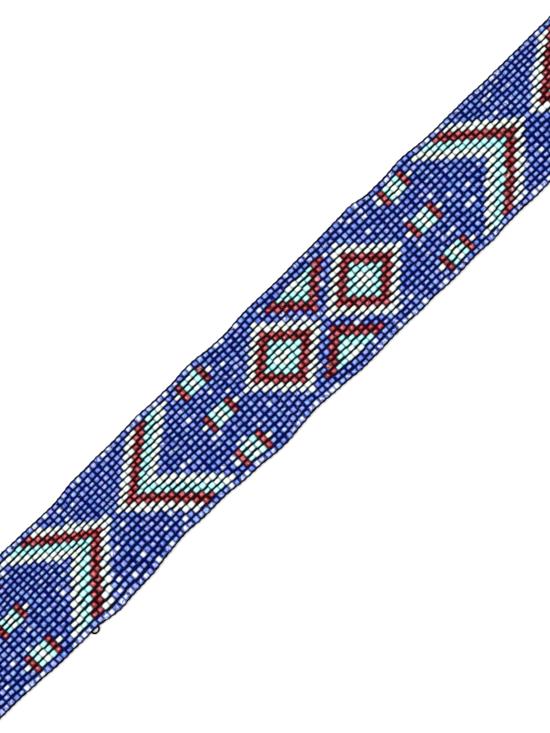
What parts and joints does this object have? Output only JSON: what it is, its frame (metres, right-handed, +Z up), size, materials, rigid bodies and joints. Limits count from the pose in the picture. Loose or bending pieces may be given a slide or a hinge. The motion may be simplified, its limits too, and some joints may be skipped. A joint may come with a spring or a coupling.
{
  "type": "beaded belt",
  "caption": "Flat loom-woven seed-bead belt in a repeating geometric pattern, with black warp threads and a plain metal hook and loop at its ends.",
  "frame": {"origin": "under the middle bead: half way along the belt, in the plane of the underside that it rests on", "axes": "+X along the belt to the hook end, +Y to the upper long edge, +Z up from the underside to the face"},
  "size_m": [0.8868, 0.0375, 0.0029],
  "materials": {
    "blue_beads": "glossy glass",
    "red_beads": "glossy glass",
    "turquoise_beads": "glossy opaque glass",
    "white_beads": "glossy opaque glass",
    "black_thread": "waxed twisted thread",
    "steel": "lightly brushed"
  },
  "bodies": {
    "root": {"beaded_band": "blue_beads", "hook_end_header": "black_thread", "loop_end_header": "black_thread", "hook_end": "steel", "loop_end": "steel"}
  },
  "joints": []
}
